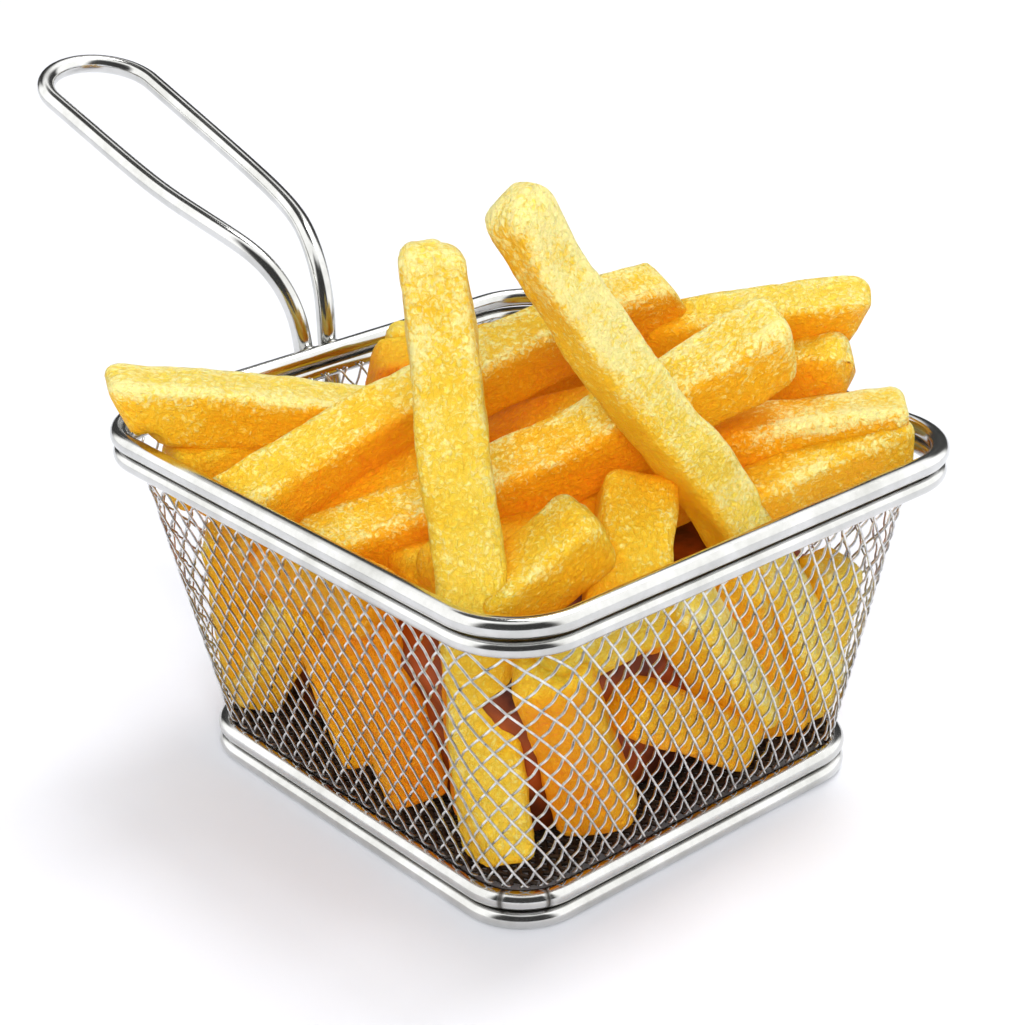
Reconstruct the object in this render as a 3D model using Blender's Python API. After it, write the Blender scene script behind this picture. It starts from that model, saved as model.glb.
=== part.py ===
"""French fries portion served in a small wire basket with a loop handle.

The basket stands on a pair of stacked base rings. Its woven wire walls flare up to a pair
of stacked rim rings, and one bent wire makes the handle behind the +Y wall. The fries fill
the basket and stand out above its rim.

Units are metres, +Z is up and the handle points along +Y.
"""

import math

import bmesh
import bpy
from mathutils import Matrix, Vector

MM = 0.001

# Driving dimensions of the basket. Widths run along X and lengths along Y, between the
# centre lines of the ring wires.
RIM_WIDTH = 94.8 * MM
RIM_LENGTH = 101.1 * MM
RIM_CORNER = 12.0 * MM
RIM_WIRE = 3.1 * MM
LOWER_RIM_WIRE = 2.6 * MM
BASE_WIDTH = 74.8 * MM
BASE_LENGTH = 79.4 * MM
BASE_CORNER = 9.7 * MM
BASE_WIRE = 3.0 * MM
HANDLE_WIRE = 3.3 * MM
RIM_HEIGHT = 57.1 * MM
GAP = 0.3 * MM

# Woven basket: outer size where the walls turn into the floor, and its wall.
MESH_FOOT_WIDTH = 74.2 * MM
MESH_FOOT_LENGTH = 78.8 * MM
MESH_FOOT_BEND = 2.5 * MM
MESH_WALL = 0.8 * MM
MESH_TOP = 58.2 * MM

# Handle: the two legs lie against the back wall, then spread into a long loop.
LEG_SPACING = 4.8 * MM
LEG_FOOT_HEIGHT = 3.2 * MM
# Bends of a leg: out along X, out along Y from where it passes the rim, and height over the rim.
LEG_BENDS = (
    (0.0, -2.2 * MM, -13.0 * MM),
    (0.0, 0.0, -3.0 * MM),
    (0.5 * MM, 0.5 * MM, 5.8 * MM),
)
SHOULDER = (1.9 * MM, 3.7 * MM, 12.4 * MM)
LOOP_WIDTH = 20.8 * MM
LOOP_END = 127.1 * MM
LOOP_RISE = math.radians(17.0)
# Along the loop: share of its length, rise over the shoulder in mm, and share of its width.
LOOP_SPREAD = (
    (0.05, 2.7, 0.49),
    (0.11, 4.9, 0.63),
    (0.25, 7.7, 0.80),
    (0.50, 11.7, 0.94),
    (1.00, 20.9, 1.00),
)

# Fries: a common bevel on their long edges, and the packed middle of the heap.
FRY_BEVEL = 0.17
HEAP_BODY_INSET = 7.0 * MM
HEAP_BODY_CORNER = 6.0 * MM
HEAP_BODY_TOP = 48.5 * MM
HEAP_TOP = 115.0 * MM

# The space over the rim that fries may take, as a multiple of the rim's size.
SPACE_OVER_RIM = 1.4

# Facets: wire sections, ring corners, and steps along the handle, round its end and along
# a fry. Edges flatter than the smooth angle are shaded round.
WIRE_SIDES = 12
HANDLE_SIDES = 12
CORNER_STEPS = 7
HANDLE_STEPS = 3
LOOP_END_STEPS = 10
FRY_STEPS = 2
SMOOTH_ANGLE = math.radians(50.0)

# One row for each fry that was laid by hand, in mm:
# name, foot, tip, width at the foot and at the tip, thickness, turn in degrees, bow.
FRIES = (
    # The top of the heap.
    ("corner_stander", (-33.5, -32, 9), (-25.5, -10, 97), (11, 9.6), 9.5, 7, 0),
    ("steep_stander", (30, -37, 14), (-18.5, -20, 104.5), (9.6, 8.6), 9.2, 22, 6),
    ("long_upper", (-46, 19, 49.5), (32, -2, 71), (10.5, 9.5), 11, 21, 3),
    ("long_lower", (-37, 7, 45), (29, -28, 74), (11, 11), 11, 16, -3),
    ("left_over_rim", (-48, 41, 64.5), (-2, 18, 53), (11.5, 11), 10, 4, 0),
    ("left_under", (-43, 35, 52.5), (-12, 28, 50), (10, 10), 10, 0, 0),
    ("right_over_rim", (20, 12, 62), (50, -26, 73), (9.5, 9.5), 10, 17, 0),
    ("right_middle", (30, 2, 56), (43, -29, 66), (9.5, 9.5), 10, 17, 0),
    ("right_low", (14, -13, 51), (43, -41, 59), (11, 11), 9.5, 2, 1),
    ("right_front", (13, -28, 45.5), (43, -41.5, 56), (8.5, 8), 8.5, 10, 0),
    ("front_left", (-30, -24, 45), (-12, -29, 56), (10.5, 10), 10.5, 9, 0),
    ("front_right", (-14, -37, 40), (3, -23, 56), (13.5, 11.5), 9, 13, 0),
    ("left_inner", (-33, 11, 45), (-12, 2, 56), (9, 9), 9, 18, 0),
    ("middle_low", (-2, 14, 51), (12, -10, 60), (9, 9), 9, 20, 0),
    ("back_high", (-2, 36.5, 56), (26, 20, 59), (9, 9), 10, 15, 0),
    ("back_top", (5, 41, 60.5), (15, 33, 58), (7, 8), 7, 0, 0),
    ("back_low", (-22, 37, 47), (22, 31, 51), (9, 9), 9, 5, 0),
    ("back_right", (30, 34, 47), (38, -2, 52), (9.5, 9), 9, 10, 0),
    ("back_cross", (8, 30, 50), (36, 16, 56), (9, 9), 9, 20, 0),
    ("back_edge", (-34, 41, 43), (6, 41.5, 46.5), (9.5, 9.5), 9, 0, 0),
    ("back_corner", (10, 39, 45), (37, 34, 43), (9.5, 9.5), 9, 0, 0),
    ("right_edge", (37, 31, 47), (38.5, -4, 46), (9.5, 9), 9, 0, 0),
    ("right_inner", (29, -8, 45), (33, -27, 48), (9.5, 9), 9, 0, 0),
    ("left_edge", (-38, 26, 42), (-37, -10, 44), (9, 9), 9, 0, 0),
    # Fries that lean on the two front walls.
    ("front_wall_1", (-15, -33, 9), (-31, -40, 43), (12, 11), 9, 0, 0),
    ("front_wall_2", (-31, -38.5, 44), (-3, -39, 43.5), (8.5, 8.5), 8, 0, 0),
    ("front_wall_3", (14, -34, 11), (-15, -37.5, 31), (10, 10), 9, 0, 0),
    ("front_wall_4", (18, -35, 16), (-9, -41, 48), (9.5, 9.5), 9, 18, 0),
    ("front_wall_5", (25, -33, 10), (8, -37, 42), (9.5, 9.5), 8.5, 0, 0),
    ("front_wall_6", (30, -31, 9), (31.5, -37, 38), (10, 9), 9, 45, 0),
    ("left_wall_1", (-31, 33, 9.5), (-37, 27.5, 43), (10.5, 10), 9, 0, 0),
    ("left_wall_2", (-32.5, 31, 11), (-38, 8.5, 38), (9, 9), 8, -31, 0),
    ("left_wall_3", (-29, 3, 9.5), (-35, 13, 45), (10, 10), 9, 0, 0),
    ("left_wall_4", (-31, -10, 9.5), (-36.5, -2.5, 43), (10, 10), 9, 10, 0),
    ("left_wall_5", (-26, -19, 9), (-30, -23, 45), (10, 10), 9, 0, 0),
)

# Fries that lean on the two walls behind: how many to a wall, how far out their ends lie,
# how high, and their size.
HIDDEN_WALL_FRIES = 4
HIDDEN_WALL_STEP = 17.0
BACK_WALL_OUT = (33.0, 39.5)
RIGHT_WALL_OUT = (31.0, 36.5)
HIDDEN_WALL_FOOT = 9.0
HIDDEN_WALL_TIP = 42.0
HIDDEN_WALL_TILT = 5.0
HIDDEN_WALL_SIZE = ((10.0, 10.0), 9.0)
HIDDEN_WALL_TURN = 45.0

UP = Vector((0.0, 0.0, 1.0))
TOWARDS_FRONT_CORNER = Vector((-1.0, -1.0, 0.0)).normalized()
STEEP = 0.8

# Surfaces: colour, metallic and roughness.
POLISHED_STEEL = ((0.78, 0.79, 0.80), 1.0, 0.12)
WOVEN_STEEL = ((0.66, 0.67, 0.68), 1.0, 0.30)
FRIED_POTATO = ((0.93, 0.66, 0.17), 0.0, 0.50)


def clear_scene():
    """Remove whatever the open file holds."""
    for obj in list(bpy.data.objects):
        bpy.data.objects.remove(obj)


def make_material(name, colour, metallic, roughness):
    material = bpy.data.materials.new(name)
    material.use_nodes = True
    shader = material.node_tree.nodes["Principled BSDF"]
    shader.inputs["Base Color"].default_value = (*colour, 1.0)
    shader.inputs["Metallic"].default_value = metallic
    shader.inputs["Roughness"].default_value = roughness
    return material


def add_object(name, mesh, material=None):
    obj = bpy.data.objects.new(name, mesh)
    bpy.context.scene.collection.objects.link(obj)
    if material is not None:
        mesh.materials.append(material)
    return obj


def finish_mesh(name, bm):
    """Turn a closed bmesh into a mesh of triangles that point out."""
    bmesh.ops.triangulate(bm, faces=bm.faces)
    bmesh.ops.recalc_face_normals(bm, faces=bm.faces)
    mesh = bpy.data.meshes.new(name)
    bm.to_mesh(mesh)
    bm.free()
    return mesh


def shade_round(mesh):
    mesh.shade_smooth()
    mesh.set_sharp_from_angle(angle=SMOOTH_ANGLE)


def rounded_rectangle(width, length, corner, height, steps=CORNER_STEPS):
    """Points of a level rounded rectangle, anticlockwise, each with its outward direction."""
    points = []
    for quarter, (side_x, side_y) in enumerate(((1, 1), (-1, 1), (-1, -1), (1, -1))):
        centre = Vector((side_x * (width / 2 - corner), side_y * (length / 2 - corner), height))
        for step in range(steps + 1):
            angle = math.radians(90.0) * (quarter + step / steps)
            outward = Vector((math.cos(angle), math.sin(angle), 0.0))
            points.append((centre + outward * corner, outward))
    return points


def add_loop(bm, points):
    return [bm.verts.new(point) for point in points]


def join_loops(bm, lower, upper):
    count = len(lower)
    for index in range(count):
        following = (index + 1) % count
        bm.faces.new((lower[index], lower[following], upper[following], upper[index]))


def loft(name, outlines):
    """A closed solid through a list of outlines, with its first and last filled."""
    bm = bmesh.new()
    loops = [add_loop(bm, outline) for outline in outlines]
    for lower, upper in zip(loops, loops[1:]):
        join_loops(bm, lower, upper)
    bm.faces.new(loops[0])
    bm.faces.new(loops[-1])
    return finish_mesh(name, bm)


# --- Rings of the rim and the base -------------------------------------------------------

def ring_mesh(name, width, length, corner, height, wire):
    """A wire bent into a level rounded rectangle, with a flat facet underneath."""
    bm = bmesh.new()
    flat_radius = wire / 2 / math.cos(math.pi / WIRE_SIDES)
    sections = []
    for point, outward in rounded_rectangle(width, length, corner, height):
        section = []
        for side in range(WIRE_SIDES):
            angle = 2 * math.pi * (side + 0.5) / WIRE_SIDES
            section.append(point + (outward * math.cos(angle) + UP * math.sin(angle)) * flat_radius)
        sections.append(add_loop(bm, section))
    for index, section in enumerate(sections):
        join_loops(bm, section, sections[(index + 1) % len(sections)])
    return finish_mesh(name, bm)


def make_rings(steel):
    lower_rim_height = RIM_HEIGHT - (RIM_WIRE + LOWER_RIM_WIRE) / 2 - GAP
    lower_base_height = BASE_WIRE / 2
    upper_base_height = lower_base_height + BASE_WIRE + GAP
    rim = (RIM_WIDTH, RIM_LENGTH, RIM_CORNER)
    base = (BASE_WIDTH, BASE_LENGTH, BASE_CORNER)
    rings = []
    for name, outline, height, wire in (
        ("rim_ring_upper", rim, RIM_HEIGHT, RIM_WIRE),
        ("rim_ring_lower", rim, lower_rim_height, LOWER_RIM_WIRE),
        ("base_ring_upper", base, upper_base_height, BASE_WIRE),
        ("base_ring_lower", base, lower_base_height, BASE_WIRE),
    ):
        mesh = ring_mesh(name, *outline, height, wire)
        shade_round(mesh)
        rings.append(add_object(name, mesh, steel))
    return rings


# --- Woven basket ------------------------------------------------------------------------

MESH_FLOOR = BASE_WIRE * 2 + GAP * 2
MESH_MOUTH_WIDTH = RIM_WIDTH - RIM_WIRE - GAP * 2
MESH_MOUTH_LENGTH = RIM_LENGTH - RIM_WIRE - GAP * 2
MESH_MOUTH = RIM_HEIGHT - RIM_WIRE / 2 - LOWER_RIM_WIRE
BEND_STEPS = 3
BEND_TURN = math.radians(80.0)


def basket_outlines(inset, top):
    """Level outlines of the basket from its floor to its mouth, moved inwards by inset."""
    bend = MESH_FOOT_BEND - inset
    outlines = []
    for step in range(BEND_STEPS):
        angle = BEND_TURN * step / (BEND_STEPS - 1)
        pulled_in = MESH_FOOT_BEND - bend * math.sin(angle)
        height = MESH_FLOOR + MESH_FOOT_BEND - bend * math.cos(angle)
        outlines.append((MESH_FOOT_WIDTH, MESH_FOOT_LENGTH, BASE_CORNER, height, pulled_in))
    for height in (MESH_MOUTH, top):
        outlines.append((MESH_MOUTH_WIDTH, MESH_MOUTH_LENGTH, RIM_CORNER, height, inset))
    loops = []
    for width, length, corner, height, pulled_in in outlines:
        outline = rounded_rectangle(width, length, corner, height)
        loops.append([point - outward * pulled_in for point, outward in outline])
    return loops


def make_woven_basket(woven_steel):
    """The wire cloth as one thin open shell: its outside up to the mouth, then its inside."""
    outside = basket_outlines(0.0, MESH_TOP)
    inside = basket_outlines(MESH_WALL, MESH_TOP)
    mesh = loft("mesh_basket", outside + inside[::-1])
    shade_round(mesh)
    return add_object("mesh_basket", mesh, woven_steel)


# --- Handle ------------------------------------------------------------------------------

def smooth_curve(points, steps):
    """Points along a Catmull-Rom curve through the given points."""
    ends = [points[0] * 2 - points[1], *points, points[-1] * 2 - points[-2]]
    curve = []
    for before, start, end, after in zip(ends, ends[1:], ends[2:], ends[3:]):
        for step in range(steps):
            t = step / steps
            curve.append(
                0.5 * (2 * start + (end - before) * t
                       + (2 * before - 5 * start + 4 * end - after) * t ** 2
                       + (3 * start - before - 3 * end + after) * t ** 3)
            )
    curve.append(points[-1])
    return curve


def handle_side():
    """One leg and one side of the loop, from the foot of the leg to the end of the loop."""
    clear = HANDLE_WIRE / 2 + GAP
    half_leg = LEG_SPACING / 2
    half_loop = LOOP_WIDTH / 2
    foot_y = (BASE_LENGTH + BASE_WIRE) / 2 + clear
    rim_y = (RIM_LENGTH + RIM_WIRE) / 2 + clear
    keys = [Vector((half_leg, foot_y, LEG_FOOT_HEIGHT))]
    for offset in (*LEG_BENDS, SHOULDER):
        keys.append(Vector((half_leg, rim_y, RIM_HEIGHT)) + Vector(offset))
    shoulder = keys[-1]
    loop_length = LOOP_END - half_loop - shoulder.y
    for along, rise, wide in LOOP_SPREAD:
        keys.append(Vector((half_loop * wide, shoulder.y + loop_length * along, shoulder.z + rise * MM)))
    return keys


def wire_sections(route, radius):
    """Round sections along a route, turned as little as its bends allow."""
    sections = []
    across = Vector((1.0, 0.0, 0.0))
    ends = [route[0], *route, route[-1]]
    for before, point, after in zip(ends, route, ends[2:]):
        along = (after - before).normalized()
        across = (across - along * across.dot(along)).normalized()
        other = along.cross(across)
        section = []
        for side in range(HANDLE_SIDES):
            angle = 2 * math.pi * side / HANDLE_SIDES
            section.append(point + (across * math.cos(angle) + other * math.sin(angle)) * radius)
        sections.append(section)
    return sections


def make_handle(steel):
    keys = handle_side()
    side = smooth_curve(keys, HANDLE_STEPS)
    end = keys[-1]
    loop_axis = Vector((0.0, math.cos(LOOP_RISE), math.sin(LOOP_RISE)))
    loop_centre = Vector((0.0, end.y, end.z))
    turn = []
    for step in range(1, LOOP_END_STEPS):
        angle = math.pi * step / LOOP_END_STEPS
        sideways = Vector((math.cos(angle) * LOOP_WIDTH / 2, 0.0, 0.0))
        turn.append(loop_centre + sideways + loop_axis * math.sin(angle) * LOOP_WIDTH / 2)
    other_side = [Vector((-point.x, point.y, point.z)) for point in reversed(side)]
    route = side + turn + other_side

    mesh = loft("handle", wire_sections(route, HANDLE_WIRE / 2))
    shade_round(mesh)
    return add_object("handle", mesh, steel)


# --- Heap of fries -----------------------------------------------------------------------

def fry_mesh(name, foot, tip, widths, thickness, turn, bow):
    """A fry as a bevelled bar from foot to tip, tapered in width and bowed upwards."""
    foot = Vector(foot) * MM
    tip = Vector(tip) * MM
    along = (tip - foot).normalized()
    reference = UP if abs(along.z) < STEEP else TOWARDS_FRONT_CORNER
    upward = (reference - along * reference.dot(along)).normalized()
    upward.rotate(Matrix.Rotation(math.radians(turn), 3, along))
    sideways = along.cross(upward)
    half = 0.5
    cut = half - FRY_BEVEL
    corners = ((cut, half), (-cut, half), (-half, cut), (-half, -cut),
               (-cut, -half), (cut, -half), (half, -cut), (half, cut))
    outlines = []
    for step in range(FRY_STEPS + 1):
        t = step / FRY_STEPS
        centre = foot.lerp(tip, t) + UP * bow * MM * 4 * t * (1 - t)
        width = (widths[0] + (widths[1] - widths[0]) * t) * MM
        outlines.append([
            centre + sideways * across * width + upward * high * thickness * MM
            for across, high in corners
        ])
    return loft(name, outlines)


def hidden_wall_fries():
    """Rows, as in FRIES, for the fries along the +Y wall and along the +X wall."""
    rows = []
    shape = (*HIDDEN_WALL_SIZE, HIDDEN_WALL_TURN, 0)
    for index in range(HIDDEN_WALL_FRIES):
        across = (index - (HIDDEN_WALL_FRIES - 1) / 2) * HIDDEN_WALL_STEP
        tilt = HIDDEN_WALL_TILT if index % 2 else -HIDDEN_WALL_TILT
        foot = (across - tilt, BACK_WALL_OUT[0], HIDDEN_WALL_FOOT)
        tip = (across + tilt, BACK_WALL_OUT[1], HIDDEN_WALL_TIP)
        rows.append((f"back_wall_{index + 1}", foot, tip, *shape))
        foot = (RIGHT_WALL_OUT[0], across + tilt, HIDDEN_WALL_FOOT)
        tip = (RIGHT_WALL_OUT[1], across - tilt, HIDDEN_WALL_TIP)
        rows.append((f"right_wall_{index + 1}", foot, tip, *shape))
    return rows


def heap_body_outlines():
    """The packed middle of the heap, set in from the walls and as steep as they are."""
    floor = MESH_FLOOR + MESH_WALL + GAP
    part_way = (HEAP_BODY_TOP - floor) / (MESH_MOUTH - floor)
    outlines = []
    for t, height in ((0.0, floor), (part_way, HEAP_BODY_TOP)):
        width = MESH_FOOT_WIDTH + (MESH_MOUTH_WIDTH - MESH_FOOT_WIDTH) * t - 2 * HEAP_BODY_INSET
        length = MESH_FOOT_LENGTH + (MESH_MOUTH_LENGTH - MESH_FOOT_LENGTH) * t - 2 * HEAP_BODY_INSET
        outline = rounded_rectangle(width, length, HEAP_BODY_CORNER, height)
        outlines.append([point for point, outward in outline])
    return outlines


def free_space_outlines():
    """The space a fry may take: inside the basket, and as wide as it likes above the rim."""
    inset = MESH_WALL + GAP
    over_rim = RIM_HEIGHT + RIM_WIRE / 2 + GAP
    loops = basket_outlines(inset, over_rim)
    for height in (over_rim + GAP, HEAP_TOP):
        outline = rounded_rectangle(
            RIM_WIDTH * SPACE_OVER_RIM, RIM_LENGTH * SPACE_OVER_RIM, RIM_CORNER, height)
        loops.append([point for point, outward in outline])
    return loops


def add_tool(name, mesh, collection):
    tool = bpy.data.objects.new(name, mesh)
    collection.objects.link(tool)
    tool.hide_render = True
    tool.display_type = "WIRE"
    return tool


def make_heap(fried_potato):
    tools = bpy.data.collections.new("heap_tools")
    bpy.context.scene.collection.children.link(tools)
    heap = add_object("fries_heap", loft("fries_heap", heap_body_outlines()), fried_potato)
    for name, *shape in (*FRIES, *hidden_wall_fries()):
        fry = add_tool(name, fry_mesh(name, *shape), tools)
        join = heap.modifiers.new(name, "BOOLEAN")
        join.operation = "UNION"
        join.solver = "EXACT"
        join.object = fry
    space = add_tool("free_space", loft("free_space", free_space_outlines()), tools)
    trim = heap.modifiers.new("trim", "BOOLEAN")
    trim.operation = "INTERSECT"
    trim.solver = "EXACT"
    trim.object = space
    return heap


# --- Assembly ----------------------------------------------------------------------------

def stand_on_origin(objects):
    """Hang everything on an empty that puts the middle of the part's box over the origin."""
    bpy.context.view_layer.update()
    depsgraph = bpy.context.evaluated_depsgraph_get()
    corners = []
    for obj in objects:
        corners += [Vector(corner) for corner in obj.evaluated_get(depsgraph).bound_box]
    middle_x = (min(c.x for c in corners) + max(c.x for c in corners)) / 2
    middle_y = (min(c.y for c in corners) + max(c.y for c in corners)) / 2
    lowest = min(c.z for c in corners)
    datum = bpy.data.objects.new("datum", None)
    bpy.context.scene.collection.objects.link(datum)
    datum.location = (-middle_x, -middle_y, -lowest)
    return datum


clear_scene()
polished_steel = make_material("polished_steel", *POLISHED_STEEL)
woven_wire = make_material("woven_wire", *WOVEN_STEEL)
fried_potato = make_material("fried_potato", *FRIED_POTATO)

parts = make_rings(polished_steel)
parts.append(make_woven_basket(woven_wire))
parts.append(make_handle(polished_steel))
parts.append(make_heap(fried_potato))
datum = stand_on_origin(parts)
for part in parts:
    part.parent = datum
for tool in bpy.data.collections["heap_tools"].objects:
    tool.parent = datum
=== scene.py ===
"""French fries in a small square serving basket of stainless steel wire.

The file follows the basket as it is put together: the rings, the handle that is welded to
them, the wire cloth that hangs between them, the fries that fill it, and last the table,
the lights and the camera. Lengths are in metres.
"""

import math

import bmesh
import bpy
from mathutils import Matrix, Vector, noise
from mathutils.bvhtree import BVHTree


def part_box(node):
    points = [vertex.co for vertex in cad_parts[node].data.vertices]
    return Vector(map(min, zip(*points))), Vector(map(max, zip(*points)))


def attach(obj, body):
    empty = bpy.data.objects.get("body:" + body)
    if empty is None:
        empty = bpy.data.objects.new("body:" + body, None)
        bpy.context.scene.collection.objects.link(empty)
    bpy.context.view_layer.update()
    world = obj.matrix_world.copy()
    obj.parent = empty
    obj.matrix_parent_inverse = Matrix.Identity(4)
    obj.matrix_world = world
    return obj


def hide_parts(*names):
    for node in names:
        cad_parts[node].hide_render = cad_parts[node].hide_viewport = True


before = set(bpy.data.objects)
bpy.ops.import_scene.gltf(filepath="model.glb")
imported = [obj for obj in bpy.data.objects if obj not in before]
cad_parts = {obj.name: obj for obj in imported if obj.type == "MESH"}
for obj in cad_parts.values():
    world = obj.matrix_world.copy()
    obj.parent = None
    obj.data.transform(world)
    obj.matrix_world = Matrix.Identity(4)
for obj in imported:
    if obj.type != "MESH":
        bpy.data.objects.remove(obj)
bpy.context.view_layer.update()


# --- Rim and base rings -------------------------------------------------------
# Four hard-drawn stainless steel wires, each bent into a rounded square and closed with a
# butt weld. Two stacked rings carry the rim, and two more are the foot.

MM = 0.001
UP = Vector((0.0, 0.0, 1.0))

foot_low, foot_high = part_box("base_ring_lower")
MIDDLE = Vector(((foot_low.x + foot_high.x) / 2, (foot_low.y + foot_high.y) / 2, 0.0))

# Width, length and corner radius, between the middles of the wires.
RIM = (94.8 * MM, 101.1 * MM, 12.0 * MM)
FOOT = (74.8 * MM, 79.4 * MM, 9.7 * MM)
RIM_HEIGHT = 57.1 * MM
RIM_WIRE = 3.1 * MM
LOWER_RIM_WIRE = 2.6 * MM
FOOT_WIRE = 3.0 * MM
RING_GAP = 0.3 * MM
WIRE_SIDES = 28
BEND_STEPS = 48
RING_STEP = 0.7 * MM

STEEL_LIGHT = "#D6D6D4"
STEEL_DARK = "#BBBBB7"
# Dark of the weld joints and spot welds, also used as painted shade in the crease where one ring sits
# on another.
WELD_AND_CREASE_SHADE = "#4B463F"
JOINT_WIDTH = 0.35 * MM
# Depth of the joint's groove, as a share of the wire's radius.
JOINT_DEPTH = 0.04
# Painted shade: under another ring, the crease is darkened from where the wire's face points up by this
# much.
CREASE_SHADE_FROM = 0.86
# The butt joint of the upper foot ring was ground flush between these angles.
JOINT_ENDS = (211.0, 249.0)
# Lines from drawing are too fine to show, so these are as coarse as they need to be.
DRAWN_LINE = 0.25 * MM
LINE_LENGTH = 15.0 * MM
# Drum polishing leaves brighter and darker clouds of this size.
POLISH_CLOUD = 9.0 * MM


def linear(code):
    """An sRGB hex colour as the linear values that a shader takes."""
    values = []
    for start in (1, 3, 5):
        share = int(code[start:start + 2], 16) / 255
        values.append(share / 12.92 if share <= 0.04045 else ((share + 0.055) / 1.055) ** 2.4)
    return (*values, 1.0)


def add_node(tree, kind, inputs=None, stops=None, **settings):
    """Add a node with its settings. Each input takes a value or the output it is linked to."""
    added = tree.nodes.new("ShaderNode" + kind)
    for name, value in settings.items():
        setattr(added, name, value)
    for name, value in (inputs or {}).items():
        if isinstance(value, bpy.types.NodeSocket):
            tree.links.new(value, added.inputs[name])
        else:
            added.inputs[name].default_value = value
    if stops:
        ramp = added.color_ramp
        while len(ramp.elements) < len(stops):
            ramp.elements.new(1.0)
        for element, (place, colour) in zip(ramp.elements, stops):
            element.position = place
            element.color = colour
    return added


def start_material(name, **values):
    """A material with its shader's own values set, and its tree and shader to build on."""
    material = bpy.data.materials.new(name)
    material.use_nodes = True
    shader = material.node_tree.nodes["Principled BSDF"]
    for socket, value in values.items():
        shader.inputs[socket.replace("_", " ")].default_value = value
    return material, material.node_tree, shader


def grey(share):
    """A linear grey, for masks and for white light."""
    return (share, share, share, 1.0)


def clamped(value):
    """The value, held between 0 and 1."""
    return min(max(value, 0.0), 1.0)


def polished_steel():
    """Stainless wire, drawn and then drum polished: a mirror with faint lines along it."""
    material, tree, shader = start_material("polished_drawn_stainless", Metallic=1.0)
    place = add_node(tree, "UVMap", uv_map="wire")
    stretched = add_node(tree, "Mapping", {
        "Vector": place.outputs["UV"],
        "Scale": (1 / LINE_LENGTH, 1 / DRAWN_LINE, 1.0),
    })
    lines = add_node(tree, "TexNoise", {
        "Vector": stretched.outputs["Vector"], "Scale": 1.0, "Detail": 3.0,
    })
    solid = add_node(tree, "TexCoord")
    clouds = add_node(tree, "TexNoise", {
        "Vector": solid.outputs["Object"], "Scale": 1 / POLISH_CLOUD, "Detail": 4.0, "Roughness": 0.6,
    })
    metal = add_node(tree, "ValToRGB", {"Fac": clouds.outputs["Fac"]}, stops=[
        (0.30, linear(STEEL_DARK)), (0.62, linear(STEEL_LIGHT)),
    ])
    # The weld attribute holds the dark joints and spot welds, and painted shade in the crease under a
    # ring.
    weld = add_node(tree, "Attribute", attribute_name="weld")
    tinted = add_node(tree, "Mix", {
        "Factor": weld.outputs["Fac"], "A": metal.outputs["Color"], "B": linear(WELD_AND_CREASE_SHADE),
    }, data_type="RGBA")
    tree.links.new(tinted.outputs["Result"], shader.inputs["Base Color"])
    dull = add_node(tree, "MapRange", {
        "Value": lines.outputs["Fac"], "From Min": 0.3, "From Max": 0.75,
        "To Min": 0.10, "To Max": 0.22,
    })
    rough = add_node(tree, "Math", {
        0: weld.outputs["Fac"], 1: 0.3, 2: dull.outputs["Result"],
    }, operation="MULTIPLY_ADD")
    tree.links.new(rough.outputs["Value"], shader.inputs["Roughness"])
    relief = add_node(tree, "Bump", {
        "Height": lines.outputs["Fac"], "Strength": 0.12, "Distance": 0.02 * MM,
    })
    tree.links.new(relief.outputs["Normal"], shader.inputs["Normal"])
    return material


def rounded_square(width, length, corner, height, steps):
    """Points of a level rounded square, anticlockwise, each with its outward direction."""
    points = []
    for quarter, (side_x, side_y) in enumerate(((1, 1), (-1, 1), (-1, -1), (1, -1))):
        centre = Vector((side_x * (width / 2 - corner), side_y * (length / 2 - corner), height))
        for step in range(steps + 1):
            angle = math.radians(90.0) * (quarter + step / steps)
            outward = Vector((math.cos(angle), math.sin(angle), 0.0))
            points.append((centre + outward * corner, outward))
    return points


def wire_sections(route, closed):
    """Directions across the wire at each point, turned as little as its bends allow."""
    frames = []
    side = None
    for index, point in enumerate(route):
        before = route[index - 1] if index or closed else point
        after = route[(index + 1) % len(route)] if index + 1 < len(route) or closed else point
        along = (after - before).normalized()
        if side is None:
            side = UP if abs(along.z) < 0.9 else Vector((0.0, 1.0, 0.0))
        side = (side - along * side.dot(along)).normalized()
        frames.append((side, along.cross(side)))
    return frames


def skin(first, rows, around, closed=False):
    """The faces between rings of points that start at index first, with end caps if open."""
    faces = []
    for row in range(rows if closed else rows - 1):
        near = first + row * around
        far = first + (row + 1) % rows * around
        for step in range(around):
            after = (step + 1) % around
            faces.append((near + step, near + after, far + after, far + step))
    if not closed:
        faces.append(tuple(first + step for step in reversed(range(around))))
        faces.append(tuple(first + (rows - 1) * around + step for step in range(around)))
    return faces


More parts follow.
